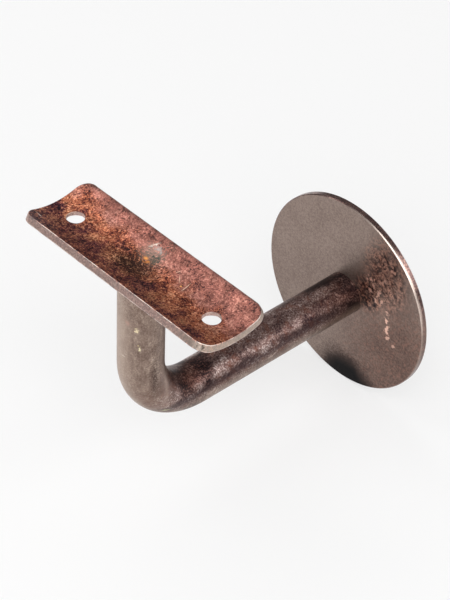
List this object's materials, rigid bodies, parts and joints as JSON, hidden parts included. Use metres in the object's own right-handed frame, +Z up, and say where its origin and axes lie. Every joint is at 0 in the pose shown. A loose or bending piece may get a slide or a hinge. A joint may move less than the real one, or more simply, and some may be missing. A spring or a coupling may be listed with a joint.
{
  "type": "handrail bracket",
  "caption": "Wall bracket for a tube handrail: a round disc on the wall, a bent round bar and a curved saddle with screw holes that the rail is screwed to.",
  "frame": {"origin": "centre of the threaded hole's mouth, in the disc's back face on the wall", "axes": "+Y into the wall, along the threaded hole's axis; +Z up, towards the rail; X along the rail"},
  "size_m": [0.0666, 0.086, 0.079],
  "materials": {
    "disc_metal": "brown patina over steel, half gloss",
    "bar_metal": "dark brown patina over steel, half gloss",
    "saddle_metal": "mottled copper-brown patina over steel",
    "plug_metal": "ground weld metal, patinated with the saddle",
    "back_weld_metal": "ground weld metal"
  },
  "bodies": {
    "root": {"wall_disc": "disc_metal", "arm": "bar_metal", "rail_saddle": "saddle_metal", "plug_weld": "plug_metal", "back_weld": "back_weld_metal"}
  },
  "joints": []
}
